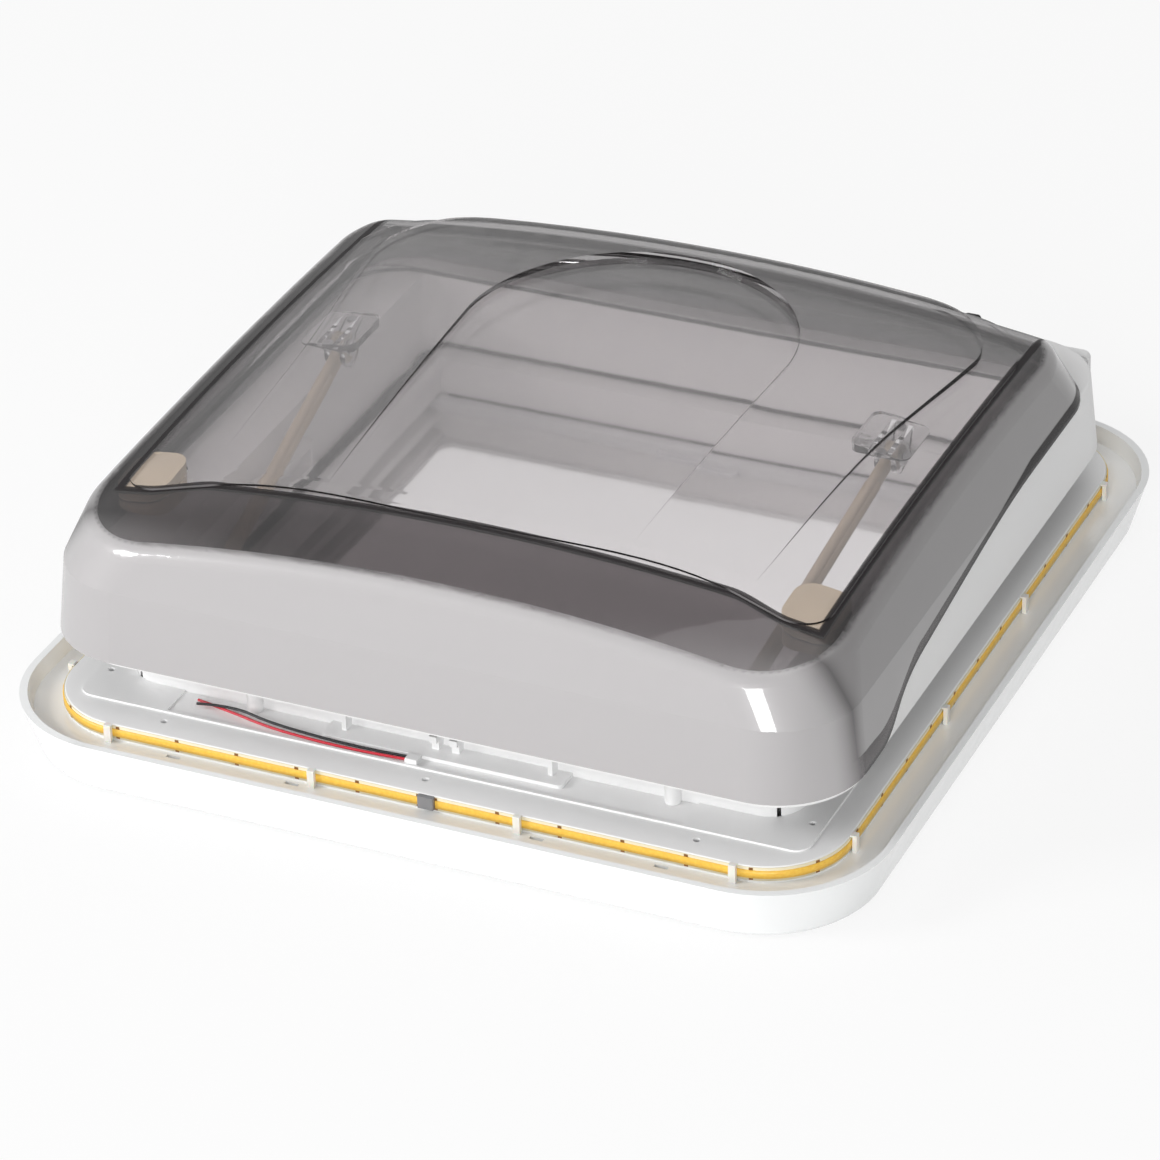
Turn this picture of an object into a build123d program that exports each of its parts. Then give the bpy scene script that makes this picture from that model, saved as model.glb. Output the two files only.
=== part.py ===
"""Roof hatch for a caravan: lit inner frame, blinds, outer frame and a hinged double-pane dome.

X is the width, -Y the front (opening) edge, +Y the hinge, +Z up. The origin is the
middle of the underside of the inner frame. All sizes are millimetres.
"""
from build123d import *
import math
import os

# Roof and cut-out
cutout_w = 400.0
cutout_d = 400.0
cutout_clear = 1.0
roof_gap = 23.0
gasket_h = 2.0

# Inner frame
frame_w = 509.0
frame_d = 537.0
frame_r = 70.0
frame_h = 33.0
frame_taper = 9.5
frame_wall = 3.0
lip_w = 5.0
foot_fillet = 5.0
channel_z = 24.0
channel_t = 2.5
land_w = 460.0
land_d = 487.0
land_r = 46.0
land_wall = 2.5
land_z = 34.0
plate_t = 3.0
plate_round = 0.9
pad_w = 430.0
pad_d = 445.0
pad_r = 9.0
pad_h = 1.0
pad_recess_x = (-160.0, 145.0)
pad_recess_y = -220.9
view_w = 336.0
view_d = 296.0
view_r = 10.0
rib_t = 2.0
rib_pitch = 62.0
plate_hole_d = 4.0
cable_slot = (8.0, 2.4)
cable_slot_x = (72.0, 143.5)

# Light strip
strip_t = 1.1
strip_h = 8.0
strip_drop = 0.5
strip_fit = 0.1
strip_gap = 10.0
strip_gap_x = 7.0
clip_w = 4.0
clip_t = 2.4
clip_x = (60.5, 183.5)
clip_y = (62.0, 196.0)

# Supply wires
wire_d = 1.6
outlet_size = (7.0, 6.8, 3.4)
outlet_x = -17.0
outlet_y = -217.3

# Blind cassettes and side rails
ring_r = 22.0
ring_h = 54.0
aperture_w = 340.0
aperture_d = 304.0
part_gap = 0.2
slot_h = 10.0
lower_slot_z = 8.0
upper_slot_z = 24.0
stack_depth = 22.0
groove_depth = 8.0
bar_w = 8.0
bar_clear = 0.6
shoe_reach = 5.5
pleat_skin = 1.6
pleat_folds = 12
pocket_w = 380.0
pocket_d = 20.0
cassette_skin = 3.0

# Outer frame
outer_w = 460.0
outer_d = 452.0
outer_r = 46.0
outer_draft = 3.5
rim_z = 107.0
outer_wall = 3.0
well_w = 364.0
well_d = 372.0
well_r = 12.0
well_y = -20.0
boss_d = 9.0
boss_h = 8.5

# Seal on the rim
seal_w = 7.0
seal_h = 6.0
seal_outer_w = 446.0
seal_front = -221.0
seal_rear = 184.0
seal_r = 40.0
seal_gap = 0.2

# Dome
dome_wall = 3.0
pane_gap = 6.0
pane_wall = 2.0
inner_rear = 152.0
inner_rear_r = 40.0
dome_low = dict(w=471.6, front=-237.0, rear=193.0, r=50.0, z=60.0)
dome_mid = dict(w=462.5, front=-232.0, rear=192.0, r=48.0, z=110.0)
dome_top = dict(w=416.0, front=-212.0, rear=180.0, r=80.0, z=180.0)
skirt_front_z = 68.0
skirt_side_z = 92.0
skirt_rear_z = 108.0
crown_peak = (12.0, 163.0)
crown_r = 2600.0
across_r = 1400.0
nose_y = -150.0
nose_r = 400.0
nose_turn = 14.0
roll_y = 148.0
roll_r = 40.0
roll_end = 50.0
shoulder_r = 12.0
deck_step = 1.2
deck_w = 412.0
deck_front = -166.0
deck_corner = (196.0, -175.0)
deck_rear = 168.0
deck_rear_r = 60.0
wing_tilt = 0.75
wing_front = -158.0
wing_rear = 160.0
wing_side = [(160.0, wing_front), (171.0, 0.0), (186.0, 105.0)]
tongue_w = 194.0
tongue_rear = 142.0

# Hinge
hinge_y = 200.0
hinge_z = 117.0
hinge_pin_d = 5.0
hinge_clear = 0.05
knuckle_d = 12.0
knuckle_t = 6.0
hook_pitch = 19.0
hook_centre = 131.0
stop_rib_x = 34.0
hinge_side_gap = 0.3
cover_z = 66.0
cover_top = 101.0
cover_w = 424.0
cover_t = 2.5
cover_d = 8.0
cover_r = 6.0

# Bail
pivot_x = 167.0
pivot_y = 22.0
pivot_z = 129.5
pivot_d = 5.0
pivot_clear = 0.05
ear_t = 3.0
ear_gap = 7.0
ear_r = 9.0
arm_eye_r = 7.0
arm_side_gap = 0.3
arm_w = 7.0
arm_h = 11.0
bar_y = -180.0
bar_z = 80.0
bail_end_x = 156.0
bail_boss_d = 17.0
bail_boss_w = 12.0
rod_d = 8.0
rod_clear = 0.05
grip_d = 15.0
handle_w = 64.0
handle_d = 24.0
handle_h = 22.0
button_w = 34.0
button_d = 11.0
button_h = 6.0
button_proud = 3.6
button_travel = 3.0
spring_d = 8.0
spring_wire = 0.8
spring_turns = 5
spring_seat = 0.05
pin_depth = 18.0

# Guides in the outer frame
guide_w = 9.8
guide_wall = 3.0
guide_slot_d = 7.0
guide_front = -193.0
guide_rear = -8.0
guide_play = 0.8
pin_sag = 1.8
notch_y = (-150.0, -112.0, -74.0)

# Fasteners
screw_d = 4.0
screw_head_d = 8.6
screw_head_h = 2.0
screw_length = 63.0
cap_h = 0.9
screw_side_x = 191.0
screw_end_y = 190.5
screw_spread = 130.0

os.makedirs("parts", exist_ok=True)


def rounded(width, depth, radius, z, y=0.0):
    """Rounded rectangle lying at height z."""
    return Pos(0, y, z) * RectangleRounded(width, depth, radius)


def slab(width, depth, radius, z0, z1, y=0.0):
    """Upright block with rounded corners."""
    return extrude(rounded(width, depth, radius, z0, y), z1 - z0)


def frustum(size0, size1):
    """Tapered block between two rounded outlines, each (width, depth, radius, z, y)."""
    return loft([rounded(*size0), rounded(*size1)])


def block(x0, x1, y0, y1, z0, z1):
    """Plain box between two corners."""
    size = (abs(x1 - x0), abs(y1 - y0), abs(z1 - z0))
    return Pos((x0 + x1) / 2, (y0 + y1) / 2, (z0 + z1) / 2) * Box(*size)


def rod_x(radius, x0, x1, y, z):
    """Round bar along X."""
    return Pos((x0 + x1) / 2, y, z) * Rot(0, 90, 0) * Cylinder(radius, abs(x1 - x0))


def post(radius, x, y, z0, z1):
    """Round bar along Z."""
    return Pos(x, y, (z0 + z1) / 2) * Cylinder(radius, z1 - z0)


def side_profile(outline, x0, x1):
    """Wire in the Y-Z plane, filled and extruded from x0 to x1."""
    face = Plane.YZ.offset(x0) * make_face(outline)
    return extrude(face, x1 - x0)


def save(name, shape):
    """Write one sub-part and report its volume."""
    solids = shape.solids()
    export_step(solids[0] if len(solids) == 1 else Compound(children=solids), f"parts/{name}.step")
    print(f"{name}: {len(solids)} solids, {sum(s.volume for s in solids) / 1000:.1f} cm3")


# Levels that follow from the driving sizes
roof_z = land_z + pad_h + roof_gap
outer_z = roof_z + gasket_h
plate_z = land_z - plate_t
ring_w = cutout_w - 2 * cutout_clear
ring_d = cutout_d - 2 * cutout_clear
ring_z = frame_wall
ring_top = ring_z + ring_h
strip_top = land_z - strip_drop
flange_z = rim_z + seal_h + seal_gap
lip_inner_w = frame_w - 2 * lip_w
lip_inner_d = frame_d - 2 * lip_w


# Inner frame
def frame_outline(z, inset=0.0):
    """Outline of the tapered tray at height z."""
    shrink = 2 * frame_taper * (frame_h - z) / frame_h + 2 * inset
    return (frame_w - shrink, frame_d - shrink, frame_r - shrink / 3, z)


def screw_points():
    """Places of the screws that clamp the roof."""
    ends = [(x, y) for y in (-screw_end_y, screw_end_y) for x in (-screw_spread, 0, screw_spread)]
    sides = [(x, y) for x in (-screw_side_x, screw_side_x) for y in (-screw_spread, 0, screw_spread)]
    return ends + sides


def drill(shape, radius, z0, z1, points):
    """Round holes along Z through a shape."""
    for x, y in points:
        shape -= post(radius, x, y, z0, z1)
    return shape


def make_inner_frame():
    tray = frustum(frame_outline(0), frame_outline(frame_h))
    tray = fillet(tray.faces().sort_by(Axis.Z)[0].outer_wire().edges(), foot_fillet)
    hollow = frustum(frame_outline(frame_wall, frame_wall + 1), frame_outline(frame_h, lip_w - 1))
    floor = frustum(frame_outline(channel_z - channel_t), frame_outline(channel_z)) & hollow
    land = slab(land_w, land_d, land_r, 0, land_z)
    tray = tray - hollow + (floor - land)
    wall = slab(land_w, land_d, land_r, 1, plate_z)
    wall -= slab(land_w - 2 * land_wall, land_d - 2 * land_wall, land_r - land_wall, 0, land_z)
    tray += wall
    ribs = []
    count = 3
    for i in range(-count, count + 1):
        at = i * rib_pitch
        ribs.append(block(at - rib_t / 2, at + rib_t / 2, -land_d / 2 + 1, land_d / 2 - 1, 1, plate_z))
        ribs.append(block(-land_w / 2 + 1, land_w / 2 - 1, at - rib_t / 2, at + rib_t / 2, 1, plate_z))
    seat = slab(cutout_w + 6, cutout_d + 6, ring_r + 3, 0, land_z)
    for rib in ribs:
        tray += rib - seat
    tray -= slab(view_w, view_d, view_r, -1, land_z)
    for x in cable_slot_x:
        for sx in (-1, 1):
            for sy in (-1, 1):
                place = Pos(sx * x, sy * (land_d / 2 + 3.5), channel_z)
                tray -= place * Box(cable_slot[0], cable_slot[1], 3 * channel_t)
    return drill(tray, screw_head_d / 2 + 0.3, -1, frame_wall + 1, screw_points())


def make_mounting_plate():
    plate = slab(land_w, land_d, land_r, plate_z, land_z)
    plate = fillet(plate.faces().sort_by(Axis.Z)[-1].outer_wire().edges(), plate_round)
    plate += slab(pad_w, pad_d, pad_r, land_z - 1, land_z + pad_h)
    plate -= slab(ring_w + 2 * part_gap, ring_d + 2 * part_gap, ring_r + part_gap, plate_z - 1, land_z + 2)
    plate -= block(*pad_recess_x, pad_recess_y, 0, land_z, land_z + 2)
    holes = [(x, y) for x in (-157, 0, 157) for y in (-230.5, 230.5)]
    holes += [(sx * 208, y) for sx in (-1, 1) for y in (-195, -160, 160, 195)]
    return drill(plate, plate_hole_d / 2, plate_z - 1, land_z + 2, holes)


def make_led_strip():
    outer = strip_t + strip_fit
    strip = slab(land_w + 2 * outer, land_d + 2 * outer, land_r + outer, strip_top - strip_h, strip_top)
    strip -= slab(land_w + 2 * strip_fit, land_d + 2 * strip_fit, land_r + strip_fit, 0, land_z + 1)
    gap = block(strip_gap_x - strip_gap / 2, strip_gap_x + strip_gap / 2, -land_d / 2 - 5, -land_d / 2 + 5, 0, land_z + 1)
    return strip - gap


def clip():
    """Clip standing against the outside of the strip, its face towards +Y."""
    stand = block(-clip_w / 2, clip_w / 2, -clip_t, 0, channel_z, strip_top + 1.2)
    hook = block(-clip_w / 2, clip_w / 2, -1, strip_t + 0.1, strip_top + 0.2, strip_top + 1.2)
    return fillet((stand + hook).edges().filter_by(Axis.X).group_by(Axis.Z)[-1], 0.4)


def make_led_clips():
    reach = strip_fit + strip_t + 0.2
    places = []
    for x in clip_x:
        for sx in (-1, 1):
            places.append(Pos(sx * x, -land_d / 2 - reach, 0))
            places.append(Pos(sx * x, land_d / 2 + reach, 0) * Rot(0, 0, 180))
    for y in clip_y:
        for sy in (-1, 1):
            places.append(Pos(land_w / 2 + reach, sy * y, 0) * Rot(0, 0, 90))
            places.append(Pos(-land_w / 2 - reach, sy * y, 0) * Rot(0, 0, -90))
    return Compound(children=[(place * clip()).solid() for place in places])


def make_led_joint():
    y = -land_d / 2
    plug = block(strip_gap_x - strip_gap / 2 + 0.3, strip_gap_x + strip_gap / 2 - 0.3, y - 3.2, y - 0.2,
                 strip_top - strip_h + 1, strip_top + 0.4)
    return fillet(plug.edges().filter_by(Axis.Z), 0.8)


# Supply wires
outlet_face_x = outlet_x
wire_z = land_z
red_route = [
    (outlet_face_x, outlet_y - 1.1, wire_z + 1.5),
    (-43, -219.6, wire_z + 1.05),
    (-73, -219.7, wire_z + 1.5),
    (-101, -217.4, wire_z + 1.8),
    (-125, -211.6, wire_z + 2.0),
    (-148.5, -206.2, wire_z + 1.4),
]
black_route = [
    (outlet_face_x, outlet_y + 1.1, wire_z + 1.9),
    (-42, -217.2, wire_z + 1.5),
    (-72, -217.6, wire_z + 2.9),
    (-102, -216.2, wire_z + 4.3),
    (-124.5, -210.6, wire_z + 5.4),
    (-146, -212.6, wire_z + 3.4),
]


def wire(route):
    """Round tube along straight runs joined by tangent arcs."""
    points = [Vector(*p) for p in route]
    radii = []
    for a, b, c in zip(points, points[1:], points[2:]):
        turn = (b - a).get_angle(c - b)
        run = min((b - a).length, (c - b).length)
        radii.append(0.45 * run / math.tan(math.radians(turn) / 2))
    print("wire radii", [round(r, 1) for r in radii])
    path = FilletPolyline(*points, radius=radii)
    start = Plane(origin=path @ 0, z_dir=path % 0)
    tube = sweep(start * Circle(wire_d / 2), path=path)
    print(f"wire length {path.length:.1f} mm, volume ratio {tube.volume / (path.length * math.pi * wire_d ** 2 / 4):.4f}")
    return tube


def make_wire_outlet():
    x1 = outlet_face_x + outlet_size[0]
    z0 = land_z
    body = block(outlet_face_x, x1, outlet_y - outlet_size[1] / 2, outlet_y + outlet_size[1] / 2, z0, z0 + outlet_size[2])
    return fillet(body.edges().filter_by(Axis.X).group_by(Axis.Z)[-1], 1.0)


# Blind cassettes, rails and blinds
def half_ring(y0, y1):
    """Part of the collar that stands in the roof cut-out."""
    ring = slab(ring_w, ring_d, ring_r, ring_z, ring_top)
    return ring & block(-ring_w, ring_w, y0, y1, ring_z - 1, ring_top + 1)


def make_cassette(slot_z, sign):
    """Blind housing at one end; sign is -1 at the front and 1 at the rear."""
    inner = sign * (aperture_d / 2 + part_gap / 2)
    body = half_ring(inner, sign * ring_d)
    back = sign * (ring_d / 2 - cassette_skin)
    pocket = block(-pocket_w / 2, pocket_w / 2, back, back - sign * (pocket_d - cassette_skin), ring_z - 1, ring_top - cassette_skin)
    body -= pocket
    for x in (-screw_spread, 0, screw_spread):
        body += post(boss_d / 2, x, sign * screw_end_y, ring_z, ring_top - 1)
    body -= block(-aperture_w / 2 + 2, aperture_w / 2 - 2, inner - sign, inner + sign * stack_depth, slot_z, slot_z + slot_h)
    return drill(body, screw_d / 2 + 0.3, 0, ring_top + 1, [(x, sign * screw_end_y) for x in (-screw_spread, 0, screw_spread)])


def make_front_cassette():
    body = make_cassette(lower_slot_z, -1)
    face = -ring_d / 2
    top = ring_top - 5
    base = land_z + 0.2
    for x in (-60, 62):
        body += block(x - 1.3, x + 1.3, face + 1, face - 7, base, top)
    for x in (-116, 131):
        body += post(4.5, x, face - 2.5, base, top - 3)
        body -= post(1.4, x, face - 2.5, top - 12, top)
    for x in (-6, 6):
        hook = block(x - 2.2, x + 2.2, face + 1, face - 6, base, top - 6)
        hook += block(x - 2.2, x + 2.2, face + 1, face - 9, top - 10, top - 6)
        body += hook
    foot = block(-70, 72, face + 1, face - 14.4, base, base + 2.2)
    return body + fillet(foot.edges().filter_by(Axis.Z).group_by(Axis.Y)[0], 3)


def make_side_rail(sign):
    """Rail with one groove for each blind, at the side of the opening."""
    reach = aperture_d / 2 - part_gap / 2
    inner = aperture_w / 2
    body = block(inner, ring_w / 2, -reach, reach, ring_z, ring_top)
    for z in (lower_slot_z, upper_slot_z):
        body -= block(inner - 1, inner + groove_depth, -reach - 1, reach + 1, z, z + slot_h)
    body -= block(inner + groove_depth + 2.5, ring_w / 2 - 2.5, -reach + 3, reach - 3, 0, ring_top - cassette_skin)
    for y in (-screw_spread, 0, screw_spread):
        body += post(boss_d / 2, screw_side_x, y, ring_z, ring_top - 1)
    body = drill(body, screw_d / 2 + 0.3, 0, ring_top + 1, [(screw_side_x, y) for y in (-screw_spread, 0, screw_spread)])
    return body if sign > 0 else mirror(body, Plane.YZ)


def make_pull_bar(slot_z, sign):
    """Bar that draws one blind across; sign gives the end where it rests."""
    z0 = slot_z + bar_clear
    z1 = slot_z + slot_h - bar_clear
    y1 = sign * (aperture_d / 2 - bar_clear)
    y0 = y1 - sign * bar_w
    half = aperture_w / 2 - 1
    body = fillet(block(-half, half, y0, y1, z0, z1).edges().filter_by(Axis.X), 1.8)
    for side in (-1, 1):
        body += block(side * (half - 4), side * (half + shoe_reach), y0 + sign * 1.5, y1 - sign * 1.5, z0 + 1, z1 - 1)
    grip = block(-26, 26, y0 + sign * 2, y0 - sign * 5, z0 + 1.2, z0 + 4.2)
    return body + fillet(grip.edges().filter_by(Axis.Z).group_by(Axis.Y)[0 if sign > 0 else -1], 2.5)


def make_pleats(slot_z, sign, folds):
    """Folded blind in its cassette, one zigzag sheet."""
    half = aperture_w / 2 - 4
    start = sign * (aperture_d / 2 + 1.0)
    step = sign * (stack_depth - 3) / folds
    low = slot_z + 1.2
    high = slot_z + slot_h - 1.2 - pleat_skin
    under = [(start + i * step, low if i % 2 == 0 else high) for i in range(folds + 1)]
    over = [(y, z + pleat_skin) for y, z in reversed(under)]
    return side_profile(Polyline(*under, *over, close=True), -half, half)


# Outer frame
def make_outer_frame():
    def outline(z, inset):
        shrink = 2 * outer_draft * (z - outer_z) / (rim_z - outer_z) + 2 * inset
        return (outer_w - shrink, outer_d - shrink, outer_r - inset, z)
    body = frustum(outline(outer_z, 0), outline(rim_z, 0))
    wall_w = well_w + 2 * outer_wall
    wall_d = well_d + 2 * outer_wall
    core = slab(wall_w, wall_d, well_r + outer_wall, 0, rim_z + 1, well_y)
    cavity = frustum(outline(outer_z + outer_wall, outer_wall), outline(rim_z - outer_wall, outer_wall))
    mouth = slab(cutout_w + 6, cutout_d + 6, ring_r + 3, outer_z - 1, outer_z + outer_wall + 1)
    body -= (cavity + mouth) - core
    body -= slab(well_w, well_d, well_r, outer_z - 1, rim_z + 1, well_y)
    body = fillet(body.faces().sort_by(Axis.Z)[-1].outer_wire().edges(), 1.5)
    for x, y in screw_points():
        body += post(boss_d / 2, x, y, outer_z, rim_z - 1 if y > -screw_end_y else outer_z + boss_h)
    for x in (-screw_spread, 0, screw_spread):
        body += block(x - 3, x + 3, -screw_end_y, -well_d / 2 + well_y - 1, outer_z, outer_z + boss_h)
    for side in (-1, 1):
        for offset in (-0.5, 0.5):
            x = side * hook_centre + offset * hook_pitch
            reach = (hook_pitch - knuckle_t) / 2 - hinge_side_gap
            arch = rod_x(knuckle_d / 2, x - reach, x + reach, hinge_y, hinge_z)
            arch += block(x - reach, x + reach, hinge_y - knuckle_d / 2 + 1, hinge_y + knuckle_d / 2, rim_z - 1, hinge_z)
            body += arch
    for side in (-1, 1):
        span = hook_pitch + knuckle_t
        body -= rod_x(hinge_pin_d / 2 + hinge_clear, side * hook_centre - span, side * hook_centre + span, hinge_y, hinge_z)
    return drill(body, screw_d / 2 - 0.2, outer_z - 1, outer_z + boss_h - 2, screw_points())


def make_hinge_cover():
    """Rounded housing along the rear wall, open to the front and below."""
    wall_y = outer_d / 2 - outer_draft
    front = wall_y - 2
    back = wall_y + cover_d
    body = block(-cover_w / 2, cover_w / 2, front, back, cover_z, cover_top)
    ends = body.edges().filter_by(Axis.Z).group_by(Axis.Y)[-1]
    body = fillet(ends, cover_r)
    body = fillet(body.faces().sort_by(Axis.Z)[-1].outer_wire().edges().sort_by(Axis.Y)[1:], cover_r / 2)
    half = cover_w / 2 - cover_t
    body -= block(-half, half, front - 1, back - cover_t, cover_z - 1, cover_top - cover_t)
    keep = frustum((outer_w + 0.6, outer_d + 0.6, outer_r, outer_z),
                   (outer_w - 2 * outer_draft + 0.6, outer_d - 2 * outer_draft + 0.6, outer_r, rim_z + 0.2))
    return body - keep


def make_roof_gasket():
    ring = slab(outer_w - 6, outer_d - 6, outer_r - 3, roof_z, outer_z)
    return ring - slab(cutout_w + 8, cutout_d + 8, ring_r + 4, roof_z - 1, outer_z + 1)


def make_collar_seal():
    ring = slab(well_w + 5, well_d + 5, well_r, ring_top, outer_z, well_y) & slab(ring_w, ring_d, ring_r, ring_top, outer_z)
    ring -= slab(aperture_w + 12, well_d - 30, well_r - 6, 0, outer_z + 1, well_y / 4)
    return drill(ring, boss_d / 2, 0, outer_z + 1, screw_points())


def make_dome_seal():
    depth = seal_rear - seal_front
    mid = (seal_rear + seal_front) / 2
    ring = slab(seal_outer_w, depth, seal_r, rim_z, rim_z + seal_h, mid)
    ring = fillet(ring.faces().sort_by(Axis.Z)[-1].outer_wire().edges(), seal_w * 0.42)
    inner = slab(seal_outer_w - 2 * seal_w, depth - 2 * seal_w, seal_r - seal_w, rim_z - 1, rim_z + seal_h + 1, mid)
    ring -= inner
    return fillet(ring.faces().sort_by(Axis.Z)[-1].inner_wires()[0].edges(), seal_w * 0.42)


# Dome
def roof_line(inset):
    """Long section of the dome top, filled: nose, crown and rear roll as tangent arcs."""
    peak_y, peak_z = crown_peak
    start = math.asin((nose_y - peak_y) / crown_r)
    end = math.asin((roll_y - peak_y) / crown_r)

    def centre(radius, angle):
        off = crown_r - radius
        return peak_y + off * math.sin(angle), peak_z - crown_r + off * math.cos(angle)

    def at(radius, middle, angle):
        r = radius - inset
        return middle[0] + r * math.sin(angle), middle[1] + r * math.cos(angle)

    def arc(radius, middle, a0, a1):
        return ThreePointArc(*(at(radius, middle, a) for a in (a0, (a0 + a1) / 2, a1)))
    nose_end = start - math.radians(nose_turn)
    roll_stop = math.radians(roll_end)
    outline = arc(nose_r, centre(nose_r, start), nose_end, start)
    outline += arc(crown_r, centre(crown_r, 0), start, end)
    outline += arc(roll_r, centre(roll_r, end), end, roll_stop)
    front = at(nose_r, centre(nose_r, start), nose_end)
    rear = at(roll_r, centre(roll_r, end), roll_stop)
    tip = (front[0] - 60 * math.cos(nose_end), front[1] + 60 * math.sin(nose_end))
    heel = (rear[0] + 80 * math.cos(roll_stop), rear[1] - 80 * math.sin(roll_stop))
    outline += Polyline(rear, heel, (heel[0], -100), (tip[0], -100), tip, front)
    return make_face(outline)


def roof_body(inset):
    """Everything below the dome top: the long section turned about a distant axis."""
    axis = Axis((0, 0, crown_peak[1] - across_r), (0, 1, 0))
    return revolve((Plane.YZ * roof_line(inset)).rotate(axis, -12), axis, 24)


def plan_ring(size, inset, z):
    """Plan outline of the dome at height z."""
    middle = (size["rear"] + size["front"]) / 2
    return (size["w"] - 2 * inset, size["rear"] - size["front"] - 2 * inset, size["r"] - inset, z, middle)


def dome_blank(inset, low=0.0):
    """Solid filling the dome, shrunk by an even inset, with its shoulder rounded."""
    step_z = dome_mid["z"]
    upper = frustum(plan_ring(dome_mid, inset, step_z), plan_ring(dome_top, inset, dome_top["z"]))
    upper &= roof_body(inset)
    roofs = [f for f in upper.faces() if abs(f.center().X) < 5 and f.normal_at().Z > 0.3]
    every = [e for f in roofs for e in f.edges()]
    rim = [e for e in every if sum(other.is_same(e) for other in every) == 1]
    upper = fillet(rim, max(shoulder_r - inset, 1.0))
    return upper + frustum(plan_ring(dome_low, inset, dome_low["z"] - low), plan_ring(dome_mid, inset, step_z))


def deck_plan():
    """Plan of the raised deck, its front corners sweeping forward."""
    half = deck_w / 2
    corner_x, corner_y = deck_corner
    turn = 14
    right = Spline((0, deck_front), (150, deck_front - 0.5), (corner_x - turn, corner_y), tangents=((1, 0), (1, -0.25)))
    right += Spline((corner_x - turn, corner_y), (half, corner_y + turn + 4), tangents=((1, -0.25), (0, 1)))
    right += Line((half, corner_y + turn + 4), (half, deck_rear - deck_rear_r))
    bow = deck_rear_r * (1 - math.sqrt(0.5))
    right += ThreePointArc((half, deck_rear - deck_rear_r), (half - bow, deck_rear - bow), (half - deck_rear_r, deck_rear))
    right += Line((half - deck_rear_r, deck_rear), (0, deck_rear))
    outline = right + mirror(right, Plane.YZ)
    return extrude(Pos(0, 0, 120) * make_face(outline.edges()), 80)


def skirt_cut():
    """Everything below the lower edge of the skirt."""
    edge = Line((-300, 0), (-300, skirt_front_z))
    edge += Line((-300, skirt_front_z), (-166, skirt_front_z))
    edge += Spline((-166, skirt_front_z), (-134, 81), (-98, skirt_side_z), tangents=((1, 0), (1, 0.12)))
    edge += Spline((-98, skirt_side_z), (-10, 102.5), (75, skirt_rear_z), tangents=((1, 0.12), (1, 0)))
    edge += Line((75, skirt_rear_z), (260, skirt_rear_z))
    edge += Line((260, skirt_rear_z), (260, 0))
    edge += Line((260, 0), (-300, 0))
    return side_profile(edge, -300, 300)


def wing_plan():
    """Plan of the raised horseshoe: flared outside, arched tongue left out."""
    side_x, side_y = wing_side[-1]
    outer = Spline(*wing_side, tangents=((0.08, 1), (0.1, 1)))
    turn = wing_rear - side_y
    bow = turn * (1 - math.sqrt(0.5))
    outer += ThreePointArc((side_x, side_y), (side_x - bow, wing_rear - bow), (side_x - turn, wing_rear))
    outer += Line((side_x - turn, wing_rear), (0, wing_rear))
    half = tongue_w / 2
    inner = Line(wing_side[0], (half - 8, wing_front))
    inner += Line((half - 8, wing_front), (half, tongue_rear - half))
    arch = (half * math.sin(math.pi / 4), tongue_rear - half + half * math.cos(math.pi / 4))
    inner += ThreePointArc((half, tongue_rear - half), arch, (0, tongue_rear))
    right = outer + inner
    outline = right + mirror(right, Plane.YZ)
    return extrude(Pos(0, 0, 120) * make_face(outline.edges()), 80)


def wing_roof():
    """Dome top tipped up towards the rear, so the wings grow from nothing."""
    tip = Axis((0, wing_front, crown_peak[1]), (1, 0, 0))
    return roof_body(-deck_step).rotate(tip, wing_tilt)


def hook_rib(x, reach, drop):
    """Curved fin on the rear wall of the dome."""
    root = dome_mid["rear"] - 5
    top = hinge_z + 14
    tip = (root + reach, top - drop)
    bulge = (root + 0.78 * reach, top - 0.36 * drop)
    outline = ThreePointArc((root, top), bulge, tip)
    outline += Line(tip, (tip[0] - 5, tip[1]))
    outline += Line((tip[0] - 5, tip[1]), (root, hinge_z - 4))
    outline += Line((root, hinge_z - 4), (root, top))
    return side_profile(outline, x - knuckle_t / 2, x + knuckle_t / 2)


def hinge_hook(x):
    """Fin with the eye that holds the dome on its hinge pin."""
    eye = rod_x(knuckle_d / 2, x - knuckle_t / 2, x + knuckle_t / 2, hinge_y, hinge_z)
    return eye + hook_rib(x, hinge_y + knuckle_d / 2 - dome_mid["rear"] + 4.5, 14)


def make_dome_outer():
    full = dome_blank(0) + (deck_plan() & roof_body(-deck_step)) + (wing_plan() & wing_roof())
    shell = full - dome_blank(dome_wall, low=10) - skirt_cut()
    for side in (-1, 1):
        for i in (-1, 0, 1):
            rib = hinge_hook(side * hook_centre + i * hook_pitch)
            shell += rib - dome_blank(dome_wall - 0.5, low=10)
        shell += hook_rib(side * stop_rib_x, 14, 12) - dome_blank(dome_wall - 0.5, low=10)
        span = hook_pitch + knuckle_t
        shell -= rod_x(hinge_pin_d / 2 + hinge_clear, side * hook_centre - span, side * hook_centre + span, hinge_y, hinge_z)
    return shell


def corner_block_plan(sign, grow=0.0):
    """Upright block in a front corner of the dome."""
    place = Pos(sign * 195, -156, 120) * Rot(0, 0, 0)
    return extrude(place * RectangleRounded(32 + 2 * grow, 38 + 2 * grow, 12 + grow), 60)


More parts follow.
